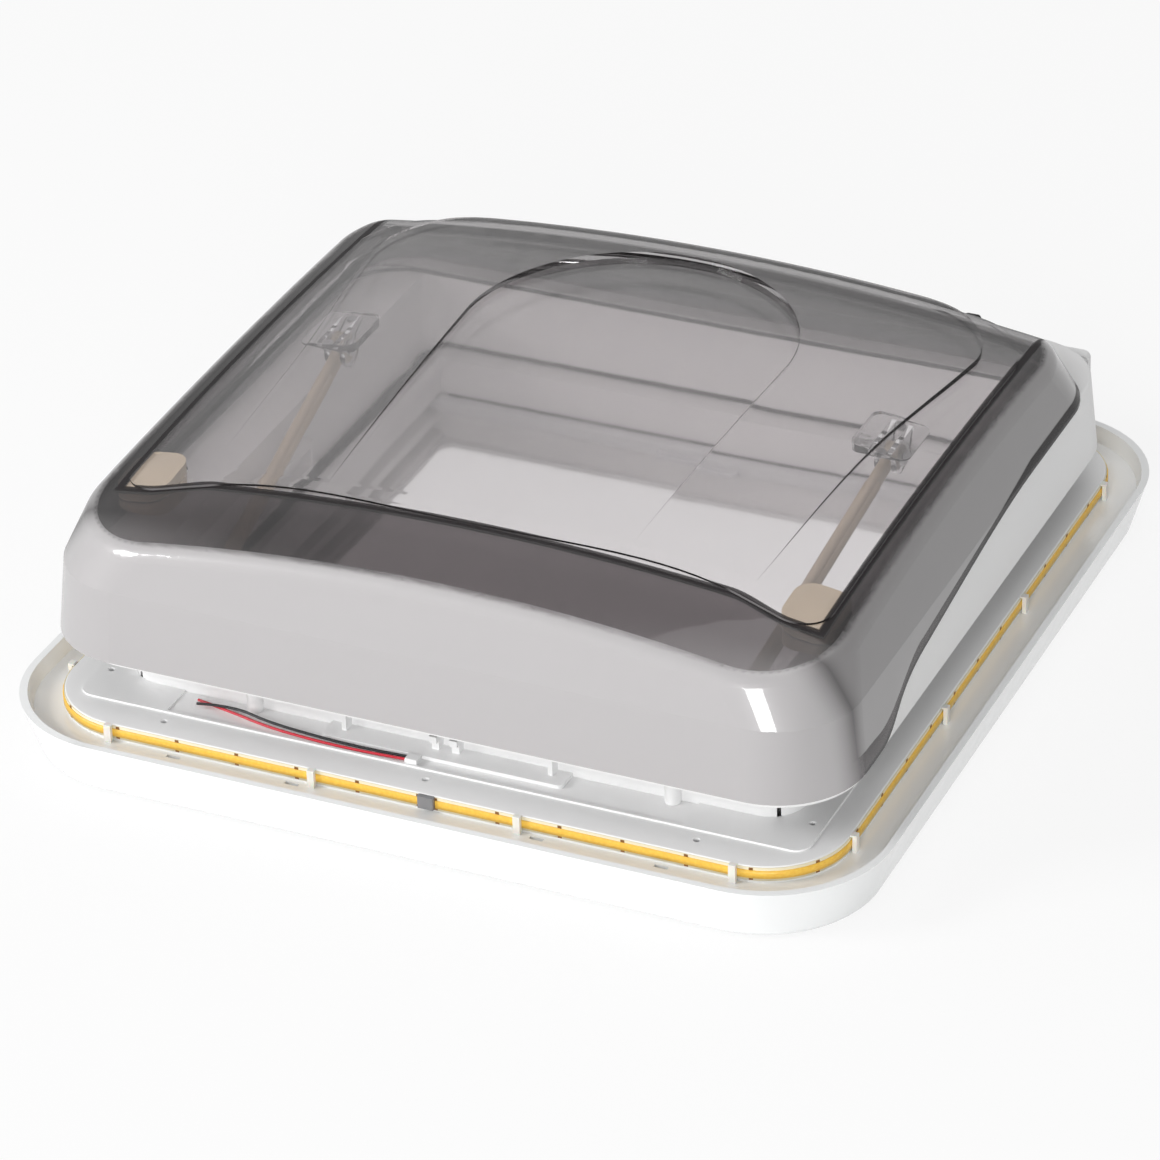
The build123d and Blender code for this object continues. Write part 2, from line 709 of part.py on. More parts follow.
def make_dome_inner():
    """Inner pane: follows the outer one, ends in a rounded wall ahead of the hinge."""
    inset = dome_wall + pane_gap
    width = dome_low["w"]
    length = inner_rear + 300
    middle = inner_rear - length / 2
    outside = slab(width - 2 * inset - 8, length, inner_rear_r, 0, 250, middle)
    inside = slab(width - 2 * inset - 8 - 2 * pane_wall, length - 2 * pane_wall, inner_rear_r - pane_wall, -1, 251, middle)
    pane = (dome_blank(inset) & outside) - (dome_blank(inset + pane_wall, low=10) & inside)
    pane &= block(-300, 300, -300, 300, flange_z, 250)
    flange = dome_blank(dome_wall + 0.15) & block(-300, 300, -300, 300, flange_z, flange_z + pane_wall)
    flange -= slab(seal_outer_w - 2 * seal_w - 4, length - 100, inner_rear_r, 0, 300, inner_rear - 1 - (length - 100) / 2)
    pane += flange
    for sign in (-1, 1):
        pane -= corner_block_plan(sign, 0.6)
    return pane


def make_corner_block(sign):
    body = corner_block_plan(sign) & dome_blank(dome_wall + 0.1)
    return body & block(-300, 300, -300, 300, 124, 200)


def make_bracket(sign):
    """Clear bracket under the dome that holds one bail pivot."""
    x = pivot_x
    base = slab(34, 40, 6, pivot_z + 9.5, 170)
    base = Pos(x, pivot_y, 0) * base
    for fin in (-1, 1):
        inner = x + fin * ear_gap / 2
        ear = rod_x(ear_r, inner, inner + fin * ear_t, pivot_y, pivot_z)
        ear += block(inner, inner + fin * ear_t, pivot_y - ear_r, pivot_y + ear_r, pivot_z, pivot_z + 12)
        base += ear
        for lean in (-1, 1):
            web = Polyline((pivot_y + lean * (ear_r - 2), pivot_z), (pivot_y + lean * (ear_r - 2), pivot_z + 11),
                           (pivot_y + lean * 19, pivot_z + 11), close=True)
            base += side_profile(web, inner, inner + fin * ear_t)
    body = base & dome_blank(dome_wall + pane_gap + pane_wall + 0.1)
    body -= rod_x(pivot_d / 2 + pivot_clear, x - 20, x + 20, pivot_y, pivot_z)
    return body if sign > 0 else mirror(body, Plane.YZ)


def make_pivot_pin(sign):
    reach = ear_gap / 2 + ear_t + 1.2
    pin = rod_x(pivot_d / 2, pivot_x - reach, pivot_x + reach, pivot_y, pivot_z)
    pin += rod_x(pivot_d / 2 + 1.8, pivot_x + reach - 0.9, pivot_x + reach + 1.1, pivot_y, pivot_z)
    return pin if sign > 0 else mirror(pin, Plane.YZ)


def make_bracket_screws():
    """Short screws that hold both brackets, heads below the bracket base."""
    screws = []
    for sign in (-1, 1):
        for dy in (-15, 15):
            z = pivot_z + 9.5
            head = post(2.8, sign * pivot_x, pivot_y + dy, z - 1.8, z - 0.05)
            screws.append(head.solid())
    return Compound(children=screws)


# Bail
button_base_z = bar_z - handle_h / 2 - button_proud
button_roof_z = bar_z + handle_h / 2 - 3.0


def make_arm(sign):
    """Arm of the bail, with an eye at the pivot and a boss at the cross bar."""
    eye_half = ear_gap / 2 - arm_side_gap
    start = Vector(pivot_x, pivot_y, pivot_z)
    along = Vector(bail_end_x, bar_y, bar_z) - start
    across = Plane(origin=start, x_dir=(1, 0, 0), z_dir=along)
    body = extrude(across * RectangleRounded(eye_half * 2 - 0.6, arm_h, 2.8), along.length)
    rib = extrude(across * RectangleRounded(arm_w + 2, arm_h * 0.55, 2.4), along.length)
    body += rib & Pos(0, bar_y / 2, 0) * Box(500, -bar_y - 4, 400)
    body += rod_x(arm_eye_r, pivot_x - eye_half, pivot_x + eye_half, pivot_y, pivot_z)
    half = bail_boss_w / 2
    boss = rod_x(bail_boss_d / 2, bail_end_x - half, bail_end_x + half, bar_y, bar_z)
    body += chamfer(boss.edges().filter_by(GeomType.CIRCLE), 1.2)
    body -= rod_x(pivot_d / 2 + pivot_clear, pivot_x - 10, pivot_x + 10, pivot_y, pivot_z)
    body -= rod_x(rod_d / 2 + rod_clear, bail_end_x - 10, bail_end_x + 10, bar_y, bar_z)
    return body if sign > 0 else mirror(body, Plane.YZ)


def make_crossbar():
    """Grip tube between the arms, with the housing of the release button."""
    half = bail_end_x - bail_boss_w / 2 - part_gap
    tube = rod_x(grip_d / 2, -half, half, bar_y, bar_z)
    housing = block(-handle_w / 2, handle_w / 2, bar_y - handle_d / 2, bar_y + handle_d / 2,
                    bar_z - handle_h / 2, bar_z + handle_h / 2)
    housing = fillet(housing.edges(), 3.5)
    body = tube + housing
    well = block(-button_w / 2 - 0.4, button_w / 2 + 0.4, bar_y - button_d / 2 - 0.4, bar_y + button_d / 2 + 0.4,
                 bar_z - handle_h, button_roof_z)
    body -= well
    for sx in (-1, 1):
        body -= rod_x(rod_d / 2 + rod_clear, sx * (half - pin_depth - 1), sx * (half + 1), bar_y, bar_z)
    return body


def make_button():
    key = block(-button_w / 2, button_w / 2, bar_y - button_d / 2, bar_y + button_d / 2,
                button_base_z, button_base_z + button_h)
    return fillet(key.edges().group_by(Axis.Z)[0], 1.5)


def make_spring():
    """Coil spring between the button and the crossbar."""
    z0 = button_base_z + button_h + spring_seat
    z1 = button_roof_z - spring_seat
    height = z1 - z0 - spring_wire
    pitch = height / spring_turns
    path = Pos(0, bar_y, z0 + spring_wire / 2) * Helix(pitch, height, spring_d / 2)
    start = Plane(origin=path @ 0, x_dir=(1, 0, 0), z_dir=path % 0)
    print(f"spring gap {pitch - spring_wire:.2f} mm, height {z1 - z0:.2f} mm")
    return sweep(start * Rectangle(spring_wire * 0.85, spring_wire * 0.85), path=path, is_frenet=True)


def make_guide(sign):
    """Channel in the side of the well where the end of the bail slides."""
    outer = well_w / 2 - 0.05
    inner = outer - guide_w
    low = bar_z - pin_sag - rod_d / 2 - guide_play
    high = bar_z + rod_d / 2 + guide_play
    body = block(inner, outer, guide_front, guide_rear, low - guide_wall, high + guide_wall)
    body = fillet(body.edges().filter_by(Axis.Z), 2)
    body -= block(inner - 1, inner + guide_slot_d, guide_front + 4, guide_rear - 4, low, high)
    for y in notch_y:
        body -= rod_x(rod_d / 2 + 0.4, inner - 1, inner + guide_slot_d, y, low + rod_d / 2 - 1.4)
    return body if sign > 0 else mirror(body, Plane.YZ)


def make_hinge_pin(sign):
    reach = hook_pitch + knuckle_t / 2 + 1.5
    return rod_x(hinge_pin_d / 2, sign * hook_centre - reach, sign * hook_centre + reach, hinge_y, hinge_z)


def make_bail_pin(sign):
    """End pin of the bail, held in the arm and the crossbar, sliding in a guide."""
    start = bail_end_x - bail_boss_w / 2 - part_gap - pin_depth
    reach = well_w / 2 - guide_w + guide_slot_d - 2
    return chamfer(rod_x(rod_d / 2, sign * start, sign * reach, bar_y, bar_z).edges().filter_by(GeomType.CIRCLE), 0.8)


# Fasteners
def make_clamp_screws():
    screws = []
    for x, y in screw_points():
        shaft = post(screw_d / 2 - 0.25, x, y, frame_wall, frame_wall + screw_length)
        shaft += post(screw_head_d / 2, x, y, frame_wall - screw_head_h, frame_wall)
        screws.append(shaft.solid())
    return Compound(children=screws)


def make_screw_caps():
    caps = [post(screw_head_d / 2 + 0.2, x, y, 0.05, cap_h).solid() for x, y in screw_points()]
    return Compound(children=caps)


sides = {"left": -1, "right": 1}
save("inner_frame", make_inner_frame())
save("mounting_plate", make_mounting_plate())
save("led_strip", make_led_strip())
save("led_clips", make_led_clips())
save("led_joint", make_led_joint())
save("wire_outlet", make_wire_outlet())
save("supply_wire_red", wire(red_route))
save("supply_wire_black", wire(black_route))
save("front_cassette", make_front_cassette())
save("rear_cassette", make_cassette(upper_slot_z, 1))
save("blackout_pull_bar", make_pull_bar(upper_slot_z, 1))
save("blackout_pleats", make_pleats(upper_slot_z, 1, pleat_folds))
save("flyscreen_pull_bar", make_pull_bar(lower_slot_z, -1))
save("flyscreen_pleats", make_pleats(lower_slot_z, -1, pleat_folds))
save("outer_frame", make_outer_frame())
save("hinge_cover", make_hinge_cover())
save("roof_gasket", make_roof_gasket())
save("collar_seal", make_collar_seal())
save("dome_seal", make_dome_seal())
save("dome_outer", make_dome_outer())
save("dome_inner", make_dome_inner())
save("bracket_screws", make_bracket_screws())
save("crossbar", make_crossbar())
save("lock_button", make_button())
save("lock_spring", make_spring())
save("clamp_screws", make_clamp_screws())
save("screw_caps", make_screw_caps())
for name, sign in sides.items():
    save(f"side_rail_{name}", make_side_rail(sign))
    save(f"corner_block_{name}", make_corner_block(sign))
    save(f"pivot_bracket_{name}", make_bracket(sign))
    save(f"pivot_pin_{name}", make_pivot_pin(sign))
    save(f"bail_arm_{name}", make_arm(sign))
    save(f"bail_pin_{name}", make_bail_pin(sign))
    save(f"bail_guide_{name}", make_guide(sign))
    save(f"hinge_pin_{name}", make_hinge_pin(sign))
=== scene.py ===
"""Dresses the roof hatch: wires, light strip, blinds, finishes, stage and camera.

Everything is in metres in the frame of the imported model: X across the hatch, -Y its
opening front, +Z up, with the origin under the middle of the inner frame.
"""
import bmesh
import bpy
import math
from bpy.props import FloatProperty, FloatVectorProperty, IntProperty, PointerProperty
from mathutils import Matrix, Vector


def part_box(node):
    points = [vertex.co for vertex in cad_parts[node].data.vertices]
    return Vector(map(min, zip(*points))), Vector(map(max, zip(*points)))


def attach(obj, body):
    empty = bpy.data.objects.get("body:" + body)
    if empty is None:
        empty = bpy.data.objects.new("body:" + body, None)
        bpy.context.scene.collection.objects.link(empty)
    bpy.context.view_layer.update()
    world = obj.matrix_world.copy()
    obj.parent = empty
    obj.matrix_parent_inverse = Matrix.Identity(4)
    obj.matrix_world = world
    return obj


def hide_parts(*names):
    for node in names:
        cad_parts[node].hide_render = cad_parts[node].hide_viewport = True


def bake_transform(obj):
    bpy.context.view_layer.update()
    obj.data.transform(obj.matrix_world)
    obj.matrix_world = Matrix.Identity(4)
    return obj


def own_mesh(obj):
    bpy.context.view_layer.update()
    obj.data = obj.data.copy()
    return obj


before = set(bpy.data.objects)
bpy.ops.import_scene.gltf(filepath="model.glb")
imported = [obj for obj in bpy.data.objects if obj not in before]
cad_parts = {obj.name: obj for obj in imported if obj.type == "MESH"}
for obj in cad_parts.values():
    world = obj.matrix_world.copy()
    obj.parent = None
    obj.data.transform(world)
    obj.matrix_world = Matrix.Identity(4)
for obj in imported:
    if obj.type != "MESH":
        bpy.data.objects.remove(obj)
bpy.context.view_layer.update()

bl_info = {
    "name": "Roof hatch",
    "version": (1, 0, 0),
    "blender": (4, 5, 0),
    "location": "3D View > Sidebar > Hatch",
    "description": "Dresses a caravan roof hatch with its wires, light strip, blinds and finishes",
    "category": "Object",
}

# Places of the part, in metres
LAND_W = 0.460
LAND_D = 0.487
LAND_R = 0.046
STRIP_TOP = 0.0335
STRIP_GAP_X = 0.007
STRIP_CLEARANCE = 0.0001
CORNER_STEPS = 12
CLOTH_STEPS = 24
RED_ROUTE = [
    (-0.0170, -0.2184, 0.0355),
    (-0.0430, -0.2196, 0.03505),
    (-0.0730, -0.2197, 0.0355),
    (-0.1010, -0.2174, 0.0358),
    (-0.1250, -0.2116, 0.0360),
    (-0.1485, -0.2062, 0.0354),
]
BLACK_ROUTE = [
    (-0.0170, -0.2162, 0.0359),
    (-0.0420, -0.2172, 0.0355),
    (-0.0720, -0.2176, 0.0369),
    (-0.1020, -0.2162, 0.0383),
    (-0.1245, -0.2106, 0.0394),
    (-0.1460, -0.2126, 0.0374),
]
FLOOR_Z = -0.0006
FLOOR_HALF = 14.0
CAMERA_PLACE = (1.13067, -2.46907, 1.66589)
CAMERA_RIGHT = (0.91377, 0.40535, -0.02663)
CAMERA_BACK = (0.35980, -0.77719, 0.51626)

# Places on the dome that its finish and its painted shade follow, in metres
CREASE_FRONT = -0.1665
CREASE_SIDE = 0.2055
CREASE_DIP = 0.009
CREASE_DIP_X = 0.170
SKIRT_FRONT_Z = 0.068
SKIRT_STEP_Y = -0.132
SKIRT_STEP_LENGTH = 0.068
SKIRT_STEP = 0.024
SKIRT_SLOPE_Y = -0.098
SKIRT_SLOPE = 0.0925
SKIRT_SLOPE_RISE = 0.016
SIDE_PANEL_Y = -0.192
SIDE_PANEL_LIFT = 0.0125
SIDE_PANEL_DROP = 0.0055
HOOKS_Y = 0.12
HOOKS_HALF_X = 0.170
FLANK_X = 0.214
FLANK_Z = 0.105

ACRYLIC_IOR = 1.45


def colour(name, about, value):
    """Colour setting shown as a swatch."""
    return FloatVectorProperty(
        name=name, description=about, subtype="COLOR", size=3, min=0, max=1, default=value)


def length(name, about, value):
    """Length setting in metres."""
    return FloatProperty(name=name, description=about, unit="LENGTH", precision=5, default=value)


def number(name, about, value):
    """Plain number setting."""
    return FloatProperty(name=name, description=about, default=value)


class StageSettings(bpy.types.PropertyGroup):
    """Camera, floor and lights."""
    lens: FloatProperty(
        name="Lens", description="Focal length on a 36 mm sensor", unit="CAMERA", default=174.09)
    key_power: number("Key light", "Power of the left light, in watts", 78.0)
    front_power: number("Front light", "Power of the front light, in watts", 50.0)
    top_power: number("Top light", "Power of the overhead light, in watts", 8.0)
    sky: number("Sky", "Brightness of the surroundings on the object", 0.38)
    floor_colour: colour("Floor", "Colour of the floor", (0.9, 0.9, 0.9))


class WireSettings(bpy.types.PropertyGroup):
    """Supply wires."""
    diameter: length("Diameter", "Outside diameter of a wire", 0.0016)
    red: colour("Red", "Insulation of the positive wire", (0.60, 0.02, 0.04))
    black: colour("Black", "Insulation of the negative wire", (0.015, 0.015, 0.017))


class StripSettings(bpy.types.PropertyGroup):
    """Light strip round the land of the inner frame."""
    height: length("Height", "Height of the strip", 0.008)
    carrier: length("Carrier", "Thickness of the flexible board", 0.0004)
    glow: length("Phosphor", "How far the phosphor bead stands out", 0.0007)
    bead: length("Bead height", "Height of the phosphor bead", 0.0046)
    pitch: length("Pad pitch", "Distance between two cutting places", 0.0356)
    pad: length("Pad", "Length of a solder pad along the strip", 0.0022)
    gap: length("Gap", "Opening between the strip's two ends", 0.010)
    phosphor: colour("Phosphor colour", "Colour of the unlit bead", (0.93, 0.60, 0.09))
    board: colour("Board", "Colour of the flexible board", (0.86, 0.78, 0.55))
    copper: colour("Pads", "Colour of the solder pads", (0.34, 0.16, 0.05))


class BlindSettings(bpy.types.PropertyGroup):
    """Folded cloths of the two blinds."""
    width: length("Width", "Width of each cloth", 0.332)
    panel: length("Panel", "Height of one pleat", 0.0068)
    panels: IntProperty(name="Panels", description="Panels folded in one blind", default=50)
    stack: length("Stack", "Depth of the folded stack", 0.019)
    cloth: colour("Blackout cloth", "Colour of the blackout cloth", (0.055, 0.055, 0.06))
    mesh: colour("Flyscreen", "Colour of the flyscreen", (0.09, 0.09, 0.10))


class SpringSettings(bpy.types.PropertyGroup):
    """Spring of the release button."""
    press: length("Press", "How far the button shortens its spring", 0.003)


class ShellSettings(bpy.types.PropertyGroup):
    """Plastics of the frames and the dome."""
    gloss_white: colour("Inner frame", "Colour of the glossy inner frame", (0.90, 0.91, 0.91))
    satin_white: colour("White parts", "Colour of the satin white mouldings", (0.91, 0.91, 0.91))
    smoke: colour("Smoke", "Tint of the outer pane on its deck", (0.82, 0.80, 0.805))
    # Partly painted shade: the pane's own tint outside the deck, made darker so that what is seen
    # through it looks shaded.
    deep_smoke_and_shade: colour(
        "Deep smoke", "Tint of the outer pane outside its deck", (0.145, 0.125, 0.130))
    # Painted shade: the dark colour that the outer pane shows at grazing angles and along its crease,
    # rear, hooks and upper flanks.
    edge: colour(
        "Edge", "Body colour of the smoked pane where it is seen along its wall",
        (0.030, 0.027, 0.028))
    shade: colour(
        "Shade", "Share of the lamps' light that each face of the outer pane lets in",
        (0.66, 0.65, 0.65))
    milk: colour("Milk", "Colour of the clouded front of the outer pane", (0.55, 0.535, 0.54))
    # Painted shade: the side panels take a darker milk than the front.
    milk_side_painted_shade: colour("Side milk", "Colour of the clouded panel along each side", (0.27, 0.26, 0.262))
    cloudiness: number("Cloudiness", "How far the border hides what is behind it", 0.76)
    beige: colour("Beige", "Colour of the arms and corner blocks", (0.62, 0.52, 0.39))


class Value:
    """A node's output that can be used in arithmetic."""

    def __init__(self, tree, socket):
        self.tree = tree
        self.socket = socket

    def math(self, operation, *values):
        """Result of an operation on the values given, which include this one if it is wanted."""
        return self.tree.node("ShaderNodeMath", {"operation": operation}, dict(enumerate(values)))

    def __add__(self, other):
        return self.math("ADD", self, other)

    def __radd__(self, other):
        return self.math("ADD", other, self)

    def __sub__(self, other):
        return self.math("SUBTRACT", self, other)

    def __rsub__(self, other):
        return self.math("SUBTRACT", other, self)

    def __mul__(self, other):
        return self.math("MULTIPLY", self, other)

    def __truediv__(self, other):
        return self.math("DIVIDE", self, other)

    def above(self, edge, soft):
        """0 below edge and 1 above it, soft metres wide."""
        ramp = {"interpolation_type": "SMOOTHSTEP"}
        values = {"Value": self, "From Min": edge - soft / 2, "From Max": edge + soft / 2}
        return self.tree.node("ShaderNodeMapRange", ramp, values)

    def clamp(self):
        return self.tree.node("ShaderNodeClamp", {}, {"Value": self})

    def most(self, other):
        return self.math("MAXIMUM", self, other)

    def least(self, other):
        return self.math("MINIMUM", self, other)

    def size(self):
        return self.math("ABSOLUTE", self)

    def sine(self):
        return self.math("SINE", self)


class Nodes:
    """Builds a node tree, for a material or a modifier."""

    def __init__(self, tree):
        self.tree = tree

    def node(self, kind, settings=(), values=(), output=0):
        """New node: its settings first, then the values or links of its sockets."""
        made = self.tree.nodes.new(kind)
        for name, setting in dict(settings).items():
            setattr(made, name, setting)
        for name, value in dict(values).items():
            socket = made.inputs[name]
            if isinstance(value, Value):
                self.tree.links.new(value.socket, socket)
            elif socket.type == "RGBA" and len(value) == 3:
                socket.default_value = (*value, 1)
            else:
                socket.default_value = value
        return Value(self, made.outputs[output]) if made.outputs else None

    def axes(self, kind="Object"):
        """A texture coordinate, whole and as its X, Y and Z."""
        place = self.node("ShaderNodeTexCoord", output=kind)
        return place, [self.node("ShaderNodeSeparateXYZ", {}, {0: place}, axis) for axis in "XYZ"]

    def mix(self, share, one, two):
        """Colour between one and two."""
        kinds = {"data_type": "RGBA"}
        return self.node("ShaderNodeMix", kinds, {0: share, 6: one, 7: two}, 2)

    def noise(self, place, scale, detail=2.0):
        """Soft noise between 0 and 1."""
        return self.node("ShaderNodeTexNoise", {}, {"Vector": place, "Scale": scale, "Detail": detail})

    def bump(self, height, strength, distance):
        """Normal that follows a height."""
        values = {"Height": height, "Strength": strength, "Distance": distance}
        return self.node("ShaderNodeBump", {}, values)

    def plastic(self, values, more=()):
        """Principled shader."""
        return self.node("ShaderNodeBsdfPrincipled", {}, {**values, **dict(more)})

    def surface(self, shader):
        """Sends a shader to the material's output."""
        self.node("ShaderNodeOutputMaterial", {}, {"Surface": shader})


def new_finish(name):
    """Empty material and the builder of its tree."""
    material = bpy.data.materials.new(name)
    material.use_nodes = True
    material.node_tree.nodes.clear()
    return material, Nodes(material.node_tree)


def moulded(name, base, rough, grain=0.04, scale=900.0, spread=0.03, values=()):
    """Moulded plastic: faint colour drift, flow marks in the gloss and a fine grain."""
    material, tree = new_finish(name)
    place, _ = tree.axes()
    drift = tree.noise(place, 7.0, 3.0)
    dull = tree.noise(place, 55.0, 4.0)
    fine = tree.noise(place, scale, 2.0)
    darker = [c * (1 - spread) for c in base]
    lighter = [min(1.0, c * (1 + spread * 0.6)) for c in base]
    tint = tree.mix(drift.above(0.5, 0.5), darker, lighter)
    gloss = rough + (dull - 0.5) * 0.14
    shade = {"Base Color": tint, "Roughness": gloss, "Normal": tree.bump(fine, grain, 0.0004)}
    tree.surface(tree.plastic(shade, values))
    return material


def well_wall(settings):
    """White moulding of the outer frame, with colour drift and a fine grain."""
    material, tree = new_finish("well wall")
    place, _ = tree.axes()
    drift = tree.noise(place, 7.0, 3.0)
    fine = tree.noise(place, 1100.0, 2.0)
    values = {
        "Base Color": tree.mix(drift, [c * 0.97 for c in settings.satin_white], settings.satin_white),
        "Roughness": 0.38 + drift * 0.08,
        "Normal": tree.bump(fine, 0.05, 0.0004),
    }
    tree.surface(tree.plastic(values))
    return material


def lets_lamps_in(tree, glass, tint):
    """Glass through which lamps reach what is behind it."""
    film = tree.node("ShaderNodeBsdfTransparent", {}, {"Color": tint})
    shadow = tree.node("ShaderNodeLightPath", output="Is Shadow Ray")
    return tree.node("ShaderNodeMixShader", {}, {0: shadow, 1: glass, 2: film})


def skirt_edge(y):
    """Height of the dome's lower edge along its side: a step up, then a slope."""
    step = y.above(SKIRT_STEP_Y, SKIRT_STEP_LENGTH) * SKIRT_STEP
    slope = ((y - SKIRT_SLOPE_Y) * SKIRT_SLOPE).most(0.0).least(SKIRT_SLOPE_RISE)
    return step + slope + SKIRT_FRONT_Z


def inside_crease(x, y):
    """How far a place lies inside the crease at the front and the sides of the dome's deck."""
    front = y + x.size().above(CREASE_DIP_X, 0.04) * CREASE_DIP - CREASE_FRONT
    return front.least(CREASE_SIDE - x.size())


def clouded_front(y, z):
    """1 on the clouded lower part of the dome's front, which fades in below a band of deep smoke and
    painted shade.
    """
    return (1 - y.above(-0.198, 0.030)) * (1 - z.above(0.156, 0.014))


def clouded_side(y, z):
    """1 on the clouded panel above the lower edge along each side of the dome."""
    lift = SIDE_PANEL_LIFT - y.above(-0.15, 0.08) * SIDE_PANEL_DROP
    return (z - skirt_edge(y) - lift).above(0.0, 0.0012) * y.above(SIDE_PANEL_Y, 0.02)


def face_turn(tree):
    """The X and Y of the direction in which a face points."""
    turn = tree.node("ShaderNodeTexCoord", output="Normal")
    return [tree.node("ShaderNodeSeparateXYZ", {}, {0: turn}, axis) for axis in "XY"]


def smoked_acrylic(settings):
    """Outer pane: clear smoke on the deck, deep smoke at its edges with painted shade, and a clouded
    border.
    """
    material, tree = new_finish("smoked acrylic")
    place, (x, y, z) = tree.axes()
    # Painted shade: the facing share darkens the pane where it is seen at a grazing angle.
    along = tree.node("ShaderNodeLayerWeight", {}, {"Blend": 0.3}, "Facing")
    drift = tree.noise(place, 9.0, 3.0)
    inside = inside_crease(x, y)
    deck = inside.above(0.0, 0.0015)
    # Painted shade: a dark line along the crease round the deck.
    painted_crease_shade = 1 - inside.size().above(0.0022, 0.0012)
    # Painted shade: the rear of the pane is darkened.
    painted_rear_shade = (y.above(0.172, 0.035) * 0.97).most(y.above(0.14, 0.06) * 0.35)
    turn_x, turn_y = face_turn(tree)
    outward = (turn_x * x + turn_y * y).above(0.09, 0.09)
    hooks = y.above(HOOKS_Y, 0.01) * (1 - x.size().above(HOOKS_HALF_X, 0.01))
    # Painted shade: the hook faces that turn across the hatch are darkened.
    painted_fin_shade = turn_x.size().above(0.8, 0.1) * hooks
    # Painted shade: the upper part of each side wall is darkened.
    painted_flank_shade = x.size().above(FLANK_X, 0.022) * z.above(FLANK_Z, 0.06) * 0.9
    beside = clouded_side(y, z)
    cloud = clouded_front(y, z).most(beside) * (1 - deck) * outward
    # Partly painted shade: the deep tint is darker than the smoke alone so that the walls seen through
    # it look shaded.
    deep = tree.mix(drift, [c * 0.9 for c in settings.deep_smoke_and_shade], settings.deep_smoke_and_shade)
    tint = tree.mix(deck, deep, settings.smoke)
    waves = tree.noise(place, 16.0, 1.0)
    flow = tree.noise(place, 40.0, 3.0)
    clear = tree.plastic({
        "Base Color": tint,
        "Roughness": 0.015 + flow * 0.03,
        "Transmission Weight": 1.0,
        "Specular IOR Level": 0.2,
        "IOR": ACRYLIC_IOR,
        "Normal": tree.bump(waves, 0.03, 0.002),
    })
    # Painted shade: the darker side milk stands in for the shade on the sides.
    pale = tree.mix(beside, settings.milk, settings.milk_side_painted_shade)
    milk = tree.plastic({
        "Base Color": pale,
        "Roughness": 0.30 + flow * 0.1,
        "Coat Weight": 1.0,
        "Coat Roughness": 0.03,
    })
    # Painted shade: a dark surface with almost no reflection, mixed in by the painted shade marks.
    body = tree.plastic({
        "Base Color": settings.edge,
        "Roughness": 0.4 + flow * 0.1,
        "Specular IOR Level": 0.02,
    })
    dark = (along * along * 1.3).most(painted_crease_shade * 0.95).most(painted_rear_shade).most(painted_flank_shade).most(painted_fin_shade)
    dark = dark.clamp() * 0.96
    glass = tree.node("ShaderNodeMixShader", {}, {0: dark, 1: clear, 2: body})
    both = tree.node("ShaderNodeMixShader", {}, {0: cloud * settings.cloudiness, 1: glass, 2: milk})
    tree.surface(lets_lamps_in(tree, both, settings.shade))
    return material


def inner_acrylic(settings):
    """Inner pane: clear, with faint flow marks."""
    material, tree = new_finish("inner acrylic")
    place, _ = tree.axes()
    drift = tree.noise(place, 30.0, 3.0)
    clear = tree.plastic({
        "Base Color": tree.mix(drift, (0.90, 0.885, 0.89), (0.93, 0.92, 0.925)),
        "Roughness": 0.02 + drift * 0.03,
        "Transmission Weight": 1.0,
        "Specular IOR Level": 0.15,
        "IOR": ACRYLIC_IOR,
    })
    tree.surface(lets_lamps_in(tree, clear, (0.80, 0.79, 0.79)))
    return material


def clear_plastic():
    """Water-clear fittings with a trace of flow lines."""
    material, tree = new_finish("clear plastic")
    place, _ = tree.axes()
    flow = tree.noise(place, 120.0, 2.0)
    tint = tree.mix(flow, (0.93, 0.94, 0.94), (0.98, 0.98, 0.98))
    values = {
        "Base Color": tint,
        "Roughness": 0.03 + flow * 0.05,
        "Transmission Weight": 1.0,
        "IOR": ACRYLIC_IOR,
        "Normal": tree.bump(flow, 0.1, 0.0006),
    }
    tree.surface(lets_lamps_in(tree, tree.plastic(values), (0.93, 0.93, 0.93)))
    return material


def strip_phosphor(settings):
    """Silicone bead over the chips: yellow, with faint darker specks where the chips sit and a faint
    painted glow.
    """
    material, tree = new_finish("phosphor bead")
    place, _ = tree.axes()
    chips = tree.node("ShaderNodeTexVoronoi", {}, {"Vector": place, "Scale": 520.0}, "Distance")
    cloud = tree.noise(place, 90.0, 3.0)
    deep = [c * k for c, k in zip(settings.phosphor, (0.93, 0.84, 0.7))]
    tint = tree.mix((chips * 1.2).clamp(), settings.phosphor, deep)
    values = {
        "Base Color": tint,
        "Roughness": 0.32 + cloud * 0.12,
        "Normal": tree.bump(cloud, 0.08, 0.0004),
        # Painted glow: the unlit bead gives off a faint light of its own colour.
        "Emission Color": settings.phosphor,
        "Emission Strength": 0.03,
    }
    tree.surface(tree.plastic(values))
    return material


def solder(settings):
    """Tarnished copper of the cutting pads."""
    material, tree = new_finish("solder pads")
    place, _ = tree.axes()
    stain = tree.noise(place, 700.0, 3.0)
    tint = tree.mix(stain, [c * 0.7 for c in settings.copper], settings.copper)
    tree.surface(tree.plastic({"Base Color": tint, "Roughness": 0.3 + stain * 0.2, "Metallic": 0.35}))
    return material


def wire_jacket(name, base):
    """Soft insulation with a slight sheen and tiny scuffs."""
    material, tree = new_finish(name)
    place, _ = tree.axes()
    scuff = tree.noise(place, 400.0, 3.0)
    tint = tree.mix(scuff, [c * 0.85 for c in base], [min(1, c * 1.15 + 0.01) for c in base])
    shade = {"Base Color": tint, "Roughness": 0.28 + scuff * 0.15}
    tree.surface(tree.plastic(shade, {"Normal": tree.bump(scuff, 0.05, 0.0003)}))
    return material


